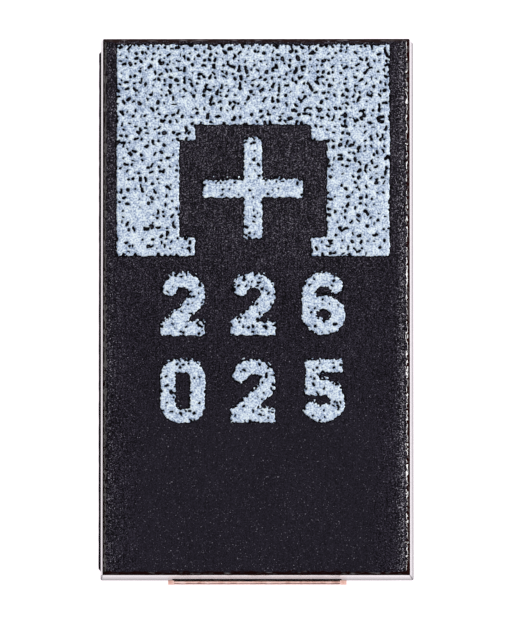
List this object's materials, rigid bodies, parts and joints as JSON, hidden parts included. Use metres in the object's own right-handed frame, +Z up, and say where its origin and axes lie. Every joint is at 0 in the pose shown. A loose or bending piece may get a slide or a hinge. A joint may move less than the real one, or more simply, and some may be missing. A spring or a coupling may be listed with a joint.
{
  "type": "tantalum capacitor",
  "caption": "Surface-mount moulded polymer tantalum capacitor with folded end terminals and a printed polarity band.",
  "frame": {"origin": "on the board plane, under the middle of the case", "axes": "+X across the case, +Y along it towards the anode end, +Z up from the board"},
  "size_m": [0.0043, 0.0074, 0.0028],
  "materials": {
    "moulded_epoxy": "filled epoxy as moulded, near black, with a fine grain",
    "lead_frame": "bare copper alloy strip, rolled and folded",
    "sintered_tantalum": "pressed and sintered powder, dull dark grey",
    "tantalum_wire": "drawn wire, blue-grey",
    "ptfe": "punched from white sheet",
    "conductive_polymer": "dried film, blue-black",
    "graphite": "dipped carbon coat, dull dark grey",
    "silver_paint": "dipped silver-filled paint, matte",
    "silver_adhesive": "cured silver-filled epoxy, matte grey",
    "marking_ink": "printed ink, bluish white, pitted"
  },
  "bodies": {
    "root": {"case": "moulded_epoxy", "anode_lead": "lead_frame", "cathode_lead": "lead_frame", "tantalum_pellet": "sintered_tantalum", "anode_wire": "tantalum_wire", "insulating_washer": "ptfe", "polymer_coat": "conductive_polymer", "graphite_coat": "graphite", "silver_coat": "silver_paint", "silver_adhesive": "silver_adhesive", "polarity_band": "marking_ink", "plus_sign": "marking_ink"}
  },
  "joints": []
}
